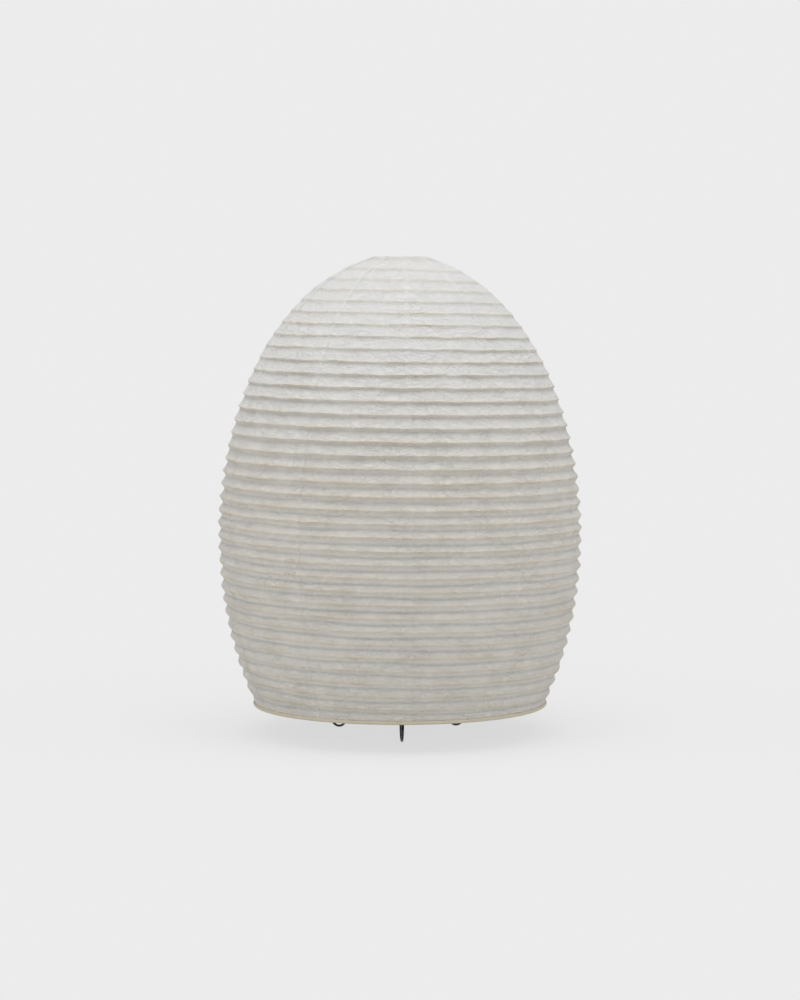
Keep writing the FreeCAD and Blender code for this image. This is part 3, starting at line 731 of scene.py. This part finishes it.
def noise(tree, vector, scale, detail, roughness=0.55):
    """A Noise texture's value."""
    made = tree.nodes.new("ShaderNodeTexNoise")
    made.inputs["Scale"].default_value = scale
    made.inputs["Detail"].default_value = detail
    made.inputs["Roughness"].default_value = roughness
    tree.links.new(vector, made.inputs["Vector"])
    return made.outputs["Fac"]


def object_place(tree):
    """Object coordinates: metres from the lamp's origin, which is also every piece's."""
    return tree.nodes.new("ShaderNodeTexCoord").outputs["Object"]


def stretched(tree, vector, scale):
    """Coordinates scaled apart along the three axes."""
    made = tree.nodes.new("ShaderNodeMapping")
    made.inputs["Scale"].default_value = scale
    tree.links.new(vector, made.inputs["Vector"])
    return made.outputs[0]


def scaled(tree, vector, scale):
    """Coordinates times a scale that comes from a socket."""
    made = tree.nodes.new("ShaderNodeVectorMath")
    made.operation = "SCALE"
    tree.links.new(vector, made.inputs[0])
    tree.links.new(scale, made.inputs["Scale"])
    return made.outputs[0]


def bump(tree, height, strength, distance, target):
    """A Bump node from a height to a shader's normal."""
    made = tree.nodes.new("ShaderNodeBump")
    feed(tree, strength, made.inputs["Strength"])
    made.inputs["Distance"].default_value = distance
    tree.links.new(height, made.inputs["Height"])
    tree.links.new(made.outputs[0], target)


def new_group(name, inputs, outputs):
    """A shader node group with number inputs (name and usual value) and named outputs."""
    group = bpy.data.node_groups.new(name, "ShaderNodeTree")
    for label, usual in inputs:
        socket = group.interface.new_socket(label, in_out="INPUT", socket_type="NodeSocketFloat")
        socket.default_value = usual
    for label in outputs:
        group.interface.new_socket(label, in_out="OUTPUT", socket_type="NodeSocketFloat")
    return group, group.nodes.new("NodeGroupInput"), group.nodes.new("NodeGroupOutput")


def use_group(tree, group, **values):
    """A group placed in a material with its own values."""
    made = tree.nodes.new("ShaderNodeGroup")
    made.node_tree = group
    for label, value in values.items():
        feed(tree, value, made.inputs[label])
    return made.outputs


def layer_parts(tree, label):
    """The two numbers of a named UV layer."""
    layer = tree.nodes.new("ShaderNodeUVMap")
    layer.uv_map = label
    apart = tree.nodes.new("ShaderNodeSeparateXYZ")
    tree.links.new(layer.outputs["UV"], apart.inputs[0])
    return apart.outputs


def mottle_group():
    """Uneven surface: a broad cloud and a fine grain, each 0 to 1, at a scale in cells to the metre.

    Noise of the place times the scale, with the height stretched as well.
    """
    group, given, result = new_group("Mottle", [("Scale", 40.0), ("Stretch", 1.0)],
                                     ["Cloud", "Grain"])
    apart = group.nodes.new("ShaderNodeVectorMath")
    apart.operation = "MULTIPLY"
    sizes = group.nodes.new("ShaderNodeCombineXYZ")
    for axis in ("X", "Y"):
        group.links.new(given.outputs["Scale"], sizes.inputs[axis])
    group.links.new(calculate(group, "MULTIPLY", given.outputs["Scale"], given.outputs["Stretch"]),
                    sizes.inputs["Z"])
    group.links.new(object_place(group), apart.inputs[0])
    group.links.new(sizes.outputs[0], apart.inputs[1])
    group.links.new(noise(group, apart.outputs[0], 1.0, 2.0), result.inputs["Cloud"])
    group.links.new(noise(group, apart.outputs[0], 9.0, 4.0, 0.65), result.inputs["Grain"])
    return group


def fibre_group():
    """Mulberry fibres: long thin bent threads in two directions, 0 to 1, and the flocked pulp between.

    A thread lies where stretched noise passes through its middle value.
    """
    group, given, result = new_group("Paper fibres", [("Scale", 90.0)], ["Fibres", "Pulp"])
    place = scaled(group, object_place(group), given.outputs["Scale"])
    layers = []
    for stretch in (UPRIGHT_THREADS, LEVEL_THREADS):
        value = noise(group, stretched(group, place, stretch), 2.2, 2.0, 0.5)
        middle = calculate(group, "ABSOLUTE", calculate(group, "SUBTRACT", value, 0.5))
        layers.append(remap(group, middle, 0.0, THREAD_WIDTH, 1.0, 0.0))
    group.links.new(calculate(group, "MAXIMUM", *layers), result.inputs["Fibres"])
    group.links.new(noise(group, place, 6.0, 4.0, 0.7), result.inputs["Pulp"])
    return group


def crumple_group():
    """Crumpled sheet: flat facets that meet in sharp ridges, wider than high, and finer creases.

    The facets are the distance to scattered points in a place bent by noise. A crease lies where noise
    of that bent place passes through its middle value.
    """
    group, given, result = new_group("Crumple", [("Scale", 90.0)], ["Height", "Creases"])
    place = scaled(group, stretched(group, object_place(group), FLAT_FACETS), given.outputs["Scale"])
    wobble = group.nodes.new("ShaderNodeTexNoise")
    wobble.inputs["Scale"].default_value = 0.8
    wobble.inputs["Detail"].default_value = 2.0
    group.links.new(place, wobble.inputs["Vector"])
    bent = group.nodes.new("ShaderNodeVectorMath")
    bent.operation = "MULTIPLY_ADD"
    group.links.new(wobble.outputs["Color"], bent.inputs[0])
    bent.inputs[1].default_value = FACET_BEND
    group.links.new(place, bent.inputs[2])
    facets = group.nodes.new("ShaderNodeTexVoronoi")
    facets.inputs["Scale"].default_value = 1.0
    group.links.new(bent.outputs[0], facets.inputs["Vector"])
    value = noise(group, bent.outputs[0], 1.3, 3.0, 0.6)
    ridge = calculate(group, "ABSOLUTE", calculate(group, "SUBTRACT", value, 0.5))
    creases = remap(group, ridge, 0.0, RIDGE_WIDTH, 1.0, 0.0)
    group.links.new(calculate(group, "MULTIPLY_ADD", creases, RIDGE_HEIGHT, facets.outputs["Distance"]),
                    result.inputs["Height"])
    group.links.new(creases, result.inputs["Creases"])
    return group


MOTTLE = mottle_group()
FIBRES = fibre_group()
CRUMPLE = crumple_group()


def washi_paper():
    """Unbleached mulberry paper, painted darker and warmer on the shade's lower part as in shade, and
    painted lighter on its upper part as lit.

    Below each crest the rib's ochre tint shows, darkened by painted shade under the crest. Above it
    lies a painted cream highlight over the rib's tint. Seams lap lighter, most near the top. Painted
    shade darkens the valleys of the folds, most near the foot, and the crumple's creases.
    """
    material, tree, shader = new_material("washi_paper", Specular_IOR_Level=0.35)
    fibres = use_group(tree, FIBRES, Scale=95.0)
    mottle = use_group(tree, MOTTLE, Scale=26.0)
    crumple = use_group(tree, CRUMPLE, Scale=62.0)
    place = tree.nodes.new("ShaderNodeSeparateXYZ")
    tree.links.new(object_place(tree), place.inputs[0])
    height = place.outputs["Z"]
    across, pleat_phase = layer_parts(tree, "Pleats")[:2]
    phase = calculate(tree, "FRACT", pleat_phase)
    below_crest = calculate(tree, "FRACT", layer_parts(tree, "Spacing")[1])
    off_crest = calculate(tree, "MINIMUM", phase, calculate(tree, "SUBTRACT", 1.0, phase))
    upper = remap(tree, height, *UPPER_PART)
    patchy = remap(tree, mottle["Cloud"], 0.32, 0.66, 0.50, 1.0)
    # Under each crest the rib's tint shows, darkened as painted shade under the crest.
    rib_tint_and_shade = calculate(tree, "MULTIPLY", remap(tree, below_crest, *RIB_TINT_AND_SHADE_BAND, 1.0, 0.0),
                          remap(tree, height, *RIB_TINT_AND_SHADE_FADES, 1.0, 0.55))
    # Above each crest a painted cream highlight lies over the rib's tint.
    rib_tint_and_highlight = calculate(tree, "MULTIPLY", remap(tree, below_crest, *RIB_TINT_AND_HIGHLIGHT_BAND), patchy)
    valley = remap(tree, off_crest, *VALLEY_SHADE_BAND)
    # The paper's body: painted darker and warmer on the lower part as shaded, lighter on the upper part as
    # lit.
    tone = mix_colours(tree, calculate(tree, "MULTIPLY", rib_tint_and_shade, patchy),
                       mix_colours(tree, upper, *PAPER_BODY_SHADED_AND_LIT), mix_colours(tree, upper, *PAPER_RIB_TINT_AND_SHADE))
    tone = mix_colours(tree, rib_tint_and_highlight, tone, mix_colours(tree, upper, *PAPER_RIB_TINT_AND_HIGHLIGHT))
    # Painted shade darkens the valleys of the folds, most near the foot.
    valley_shade = calculate(tree, "MULTIPLY", valley, remap(tree, height, *VALLEY_SHADE_FADES, 0.75, 0.35))
    tone = mix_colours(tree, valley_shade, tone, PAPER_VALLEY_SHADE)
    lap = calculate(tree, "MULTIPLY", remap(tree, across, *LAP_EDGE),
                    remap(tree, height, *LAPS_SHOW, 0.10, 0.36))
    tone = mix_colours(tree, lap, tone, PAPER_LAP)
    tone = mix_colours(tree, calculate(tree, "MULTIPLY", fibres["Fibres"], 0.14), tone, PAPER_FIBRE)
    # Painted shade along the crumple's creases.
    tone = mix_colours(tree, calculate(tree, "MULTIPLY", crumple["Creases"], 0.16), tone, PAPER_CREASE_SHADE)
    tree.links.new(tone, shader.inputs["Base Color"])
    tree.links.new(remap(tree, fibres["Pulp"], 0.3, 0.7, 0.54, 0.72), shader.inputs["Roughness"])
    fine = calculate(tree, "MULTIPLY_ADD", fibres["Fibres"], 0.12,
                     calculate(tree, "MULTIPLY", fibres["Pulp"], 0.25))
    crushed = calculate(tree, "MULTIPLY", remap(tree, height, *CRUSH_FADES, 1.1, 0.75),
                        remap(tree, mottle["Cloud"], 0.35, 0.65, 0.6, 1.1))
    relief = calculate(tree, "MULTIPLY_ADD", crumple["Height"], crushed, fine)
    bump(tree, relief, 0.8, 0.0022, shader.inputs["Normal"])
    return material


def bamboo():
    """Split bamboo: straw yellow with long grain and darker skin in streaks."""
    material, tree, shader = new_material("bamboo")
    mottle = use_group(tree, MOTTLE, Scale=120.0, Stretch=6.0)
    tone = mix_colours(tree, mottle["Grain"], STRAW, BAMBOO_SKIN)
    tree.links.new(tone, shader.inputs["Base Color"])
    tree.links.new(remap(tree, mottle["Cloud"], 0.3, 0.7, 0.42, 0.62), shader.inputs["Roughness"])
    bump(tree, mottle["Grain"], 0.3, 0.0002, shader.inputs["Normal"])
    return material


def wrapped_hoop():
    """Tan kraft ribbon over the hoop wire, scuffed darker in clouds, with paler fibres."""
    material, tree, shader = new_material("wrapped_hoop")
    fibres = use_group(tree, FIBRES, Scale=160.0)
    mottle = use_group(tree, MOTTLE, Scale=70.0)
    tone = mix_colours(tree, mottle["Cloud"], RIBBON, RIBBON_SCUFF)
    tone = mix_colours(tree, calculate(tree, "MULTIPLY", fibres["Fibres"], 0.35), tone, RIBBON_FIBRE)
    tree.links.new(tone, shader.inputs["Base Color"])
    tree.links.new(remap(tree, fibres["Pulp"], 0.3, 0.7, 0.6, 0.8), shader.inputs["Roughness"])
    bump(tree, fibres["Pulp"], 0.4, 0.0002, shader.inputs["Normal"])
    return material


def lacquered(name, colour, roughness, orange_peel, scale):
    """Black stoving lacquer: near-black with cloudy roughness, fine orange peel and a clear gloss."""
    material, tree, shader = new_material(name, Coat_Weight=0.12, Coat_Roughness=0.12)
    mottle = use_group(tree, MOTTLE, Scale=scale)
    worn = tuple(min(1.0, part * 2.2 + 0.01) for part in colour[:3]) + (1,)
    tree.links.new(mix_colours(tree, remap(tree, mottle["Cloud"], 0.4, 0.75), colour, worn),
                   shader.inputs["Base Color"])
    tree.links.new(remap(tree, mottle["Grain"], 0.3, 0.7, roughness, roughness + 0.14),
                   shader.inputs["Roughness"])
    bump(tree, mottle["Grain"], orange_peel, 0.0002, shader.inputs["Normal"])
    return material


def moulded(name, colour, roughness):
    """Moulded phenolic: faint flow clouds in the colour and a fine matt grain."""
    material, tree, shader = new_material(name)
    mottle = use_group(tree, MOTTLE, Scale=90.0)
    paler = tuple(min(1.0, part * 1.7 + 0.008) for part in colour[:3]) + (1,)
    tree.links.new(mix_colours(tree, mottle["Cloud"], colour, paler), shader.inputs["Base Color"])
    tree.links.new(remap(tree, mottle["Grain"], 0.25, 0.75, roughness, roughness + 0.2),
                   shader.inputs["Roughness"])
    bump(tree, mottle["Grain"], 0.25, 0.0001, shader.inputs["Normal"])
    return material


def metal(name, colour, tarnish, roughness, scale, stretch):
    """Worked metal: tool lines as a stretched grain, with tarnish in clouds."""
    material, tree, shader = new_material(name, Metallic=1.0)
    mottle = use_group(tree, MOTTLE, Scale=scale, Stretch=stretch)
    tree.links.new(mix_colours(tree, remap(tree, mottle["Cloud"], 0.4, 0.8), colour, tarnish),
                   shader.inputs["Base Color"])
    tree.links.new(remap(tree, mottle["Grain"], 0.3, 0.7, roughness, roughness + 0.18),
                   shader.inputs["Roughness"])
    bump(tree, mottle["Grain"], 0.2, 0.0001, shader.inputs["Normal"])
    return material


def ceramic(name, colour, speck, roughness):
    """Fired body: small specks and a soft uneven glaze."""
    material, tree, shader = new_material(name)
    mottle = use_group(tree, MOTTLE, Scale=200.0)
    tree.links.new(mix_colours(tree, remap(tree, mottle["Grain"], 0.58, 0.7), colour, speck),
                   shader.inputs["Base Color"])
    tree.links.new(remap(tree, mottle["Cloud"], 0.3, 0.7, roughness, roughness + 0.1),
                   shader.inputs["Roughness"])
    bump(tree, mottle["Cloud"], 0.15, 0.0002, shader.inputs["Normal"])
    return material


def glass(name, colour, roughness, transmission):
    """Lamp glass, slightly wavy; on the bulb its roughness stands for a frosted coat."""
    material, tree, shader = new_material(name, IOR=1.5, Transmission_Weight=transmission)
    mottle = use_group(tree, MOTTLE, Scale=60.0)
    paler = tuple(min(1.0, part * 1.03) for part in colour[:3]) + (1,)
    tree.links.new(mix_colours(tree, mottle["Cloud"], colour, paler), shader.inputs["Base Color"])
    tree.links.new(remap(tree, mottle["Grain"], 0.3, 0.7, roughness, roughness + 0.06),
                   shader.inputs["Roughness"])
    bump(tree, mottle["Cloud"], 0.1, 0.0003, shader.inputs["Normal"])
    return material


FINISHES = {
    "washi_paper": washi_paper(),
    "bamboo": bamboo(),
    "wrapped_hoop": wrapped_hoop(),
    "black_wire": lacquered("black_wire", (0.012, 0.013, 0.014, 1), 0.16, 0.08, 60.0),
    "black_plate": lacquered("black_plate", (0.013, 0.014, 0.015, 1), 0.26, 0.14, 45.0),
    "black_plastic": moulded("black_plastic", (0.018, 0.018, 0.019, 1), 0.38),
    "brass": metal("brass", (0.78, 0.56, 0.26, 1), (0.55, 0.36, 0.15, 1), 0.22, 90.0, 8.0),
    "zinc_steel": metal("zinc_steel", (0.63, 0.64, 0.66, 1), (0.45, 0.46, 0.47, 1), 0.28, 80.0, 5.0),
    "porcelain": ceramic("porcelain", (0.80, 0.79, 0.75, 1), (0.62, 0.60, 0.55, 1), 0.18),
    "cap_metal": metal("cap_metal", (0.84, 0.84, 0.85, 1), (0.66, 0.66, 0.67, 1), 0.18, 110.0, 6.0),
    "black_glass": ceramic("black_glass", (0.02, 0.02, 0.025, 1), (0.05, 0.05, 0.055, 1), 0.12),
    "bulb_glass": glass("bulb_glass", (0.95, 0.95, 0.93, 1), 0.32, 0.9),
    "stem_glass": glass("stem_glass", (0.93, 0.95, 0.94, 1), 0.03, 1.0),
    "filament_metal": metal("filament_metal", (0.50, 0.50, 0.52, 1), (0.36, 0.36, 0.38, 1), 0.3, 400.0, 1.0),
}

for part in frame["record"]["subparts"]:
    solid = frame["nodes"][part["node"]]
    for place in solid.material_slots:
        place.material = FINISHES[part["material_slot"]]

for piece in list(bpy.context.scene.objects):
    if piece.get("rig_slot"):
        piece.data.materials.append(FINISHES[piece["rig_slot"]])

# The paper and the rib, which fold flat towards the top hoop on the lamp as the bottom hoop is
# pushed up, each get a mesh of their own.
for piece in list(bpy.context.scene.objects):
    if piece.get("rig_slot") in ("washi_paper", "bamboo"):
        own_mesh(piece)

# ----------------------------------------------------------------------- stage, light and camera

BACKGROUND = (0.838, 0.838, 0.838, 1)
FLOOR = (0.80, 0.80, 0.795, 1)
FLOOR_LIFT = (0.075, 0.075, 0.08, 1)
FLOOR_REACH = 40.0

# The share of plain background in the floor that the eye sees grows from FLOOR_PLAIN to 1 between
# these distances from the lamp's axis.
FLOOR_PLAIN = 0.78
SHADOW_FROM = 0.2
SHADOW_TO = 1.1

# Strength of the sky, and the area lamps: name, place, width in metres and power in watts.
SKY = 0.42
LAMP_AIM = (0, 0, 0.3)
LAMPS = (
    ("overhead", (0.0, -0.9, 6.0), 4.5, 180.0),
    ("front_fill", (-0.4, -5.0, 1.8), 2.0, 20.0),
    ("side_fill", (-3.2, -0.8, 1.0), 2.0, 12.0),
    ("side_fill", (3.2, -0.8, 1.0), 2.0, 12.0),
)


def seen_by_eye(tree):
    """1 for what the eye sees, in the glass and the gloss too: camera, glossy and transmitted rays."""
    path = tree.nodes.new("ShaderNodeLightPath")
    seen = calculate(tree, "MAXIMUM", path.outputs["Is Camera Ray"], path.outputs["Is Glossy Ray"])
    return calculate(tree, "MAXIMUM", seen, path.outputs["Is Transmission Ray"])


def pale_floor():
    """A wide floor that keeps the lamp's soft shadow near it and runs into the background further out.

    To the eye it is the lit floor lifted to the background's paleness; other rays see it unlifted.
    """
    corners = FLOOR_REACH * np.array([(-1, -1, 0), (1, -1, 0), (1, 1, 0), (-1, 1, 0)])
    floor = build_mesh("floor", corners, np.array([[0, 1, 2, 3]]))
    material = bpy.data.materials.new("pale_floor")
    material.use_nodes = True
    tree = material.node_tree
    tree.nodes.clear()
    lit = tree.nodes.new("ShaderNodeBsdfDiffuse")
    lit.inputs["Color"].default_value = FLOOR
    lift = tree.nodes.new("ShaderNodeEmission")
    lift.inputs["Color"].default_value = FLOOR_LIFT
    eye = seen_by_eye(tree)
    tree.links.new(eye, lift.inputs["Strength"])
    lifted = tree.nodes.new("ShaderNodeAddShader")
    plain = tree.nodes.new("ShaderNodeEmission")
    plain.inputs["Color"].default_value = BACKGROUND
    away = tree.nodes.new("ShaderNodeVectorMath")
    away.operation = "LENGTH"
    tree.links.new(object_place(tree), away.inputs[0])
    faded = remap(tree, away.outputs["Value"], SHADOW_FROM, SHADOW_TO, FLOOR_PLAIN, 1.0)
    mixed = tree.nodes.new("ShaderNodeMixShader")
    result = tree.nodes.new("ShaderNodeOutputMaterial")
    tree.links.new(lit.outputs[0], lifted.inputs[0])
    tree.links.new(lift.outputs[0], lifted.inputs[1])
    tree.links.new(calculate(tree, "MULTIPLY", faded, eye), mixed.inputs[0])
    tree.links.new(lifted.outputs[0], mixed.inputs[1])
    tree.links.new(plain.outputs[0], mixed.inputs[2])
    tree.links.new(mixed.outputs[0], result.inputs["Surface"])
    floor.data.materials.append(material)


def studio_world(strength):
    """An even pale sky, which the eye sees as the plain background."""
    world = bpy.data.worlds.new("studio")
    world.use_nodes = True
    tree = world.node_tree
    sky = tree.nodes["Background"]
    seen = seen_by_eye(tree)
    tree.links.new(mix_colours(tree, seen, (1, 1, 1, 1), BACKGROUND), sky.inputs["Color"])
    tree.links.new(calculate(tree, "MULTIPLY_ADD", seen, 1 - strength, strength),
                   sky.inputs["Strength"])
    bpy.context.scene.world = world


def soft_box(name, place, size, power):
    """A square area lamp aimed at the middle of the shade."""
    data = bpy.data.lights.new(name, "AREA")
    data.size = size
    data.energy = power
    lamp = bpy.data.objects.new(name, data)
    bpy.context.scene.collection.objects.link(lamp)
    lamp.location = place
    heading = np.subtract(LAMP_AIM, place)
    lamp.rotation_euler = (math.acos(-heading[2] / np.linalg.norm(heading)), 0,
                           math.atan2(heading[1], heading[0]) - math.pi / 2)


def photo_camera():
    """The photograph's view, for an image 800 wide and 1000 high."""
    lens_pixels, image_height = 2835.6, 1000
    distance, eye_height = 3.5722, 0.5462
    aside, down = math.radians(2.4), math.radians(4.03)
    data = bpy.data.cameras.new("photo_view")
    data.sensor_fit = "VERTICAL"
    data.sensor_height = 36.0
    data.lens = data.sensor_height * lens_pixels / image_height
    data.clip_end = 200.0
    camera = bpy.data.objects.new("photo_view", data)
    bpy.context.scene.collection.objects.link(camera)
    camera.location = (-distance * math.sin(aside), -distance * math.cos(aside), eye_height)
    camera.rotation_euler = (math.pi / 2 - down, 0, -aside)
    bpy.context.scene.camera = camera


pale_floor()
studio_world(SKY)
for name, place, width, power in LAMPS:
    soft_box(name, place, width, power)
photo_camera()
bpy.context.scene.view_settings.view_transform = "Standard"
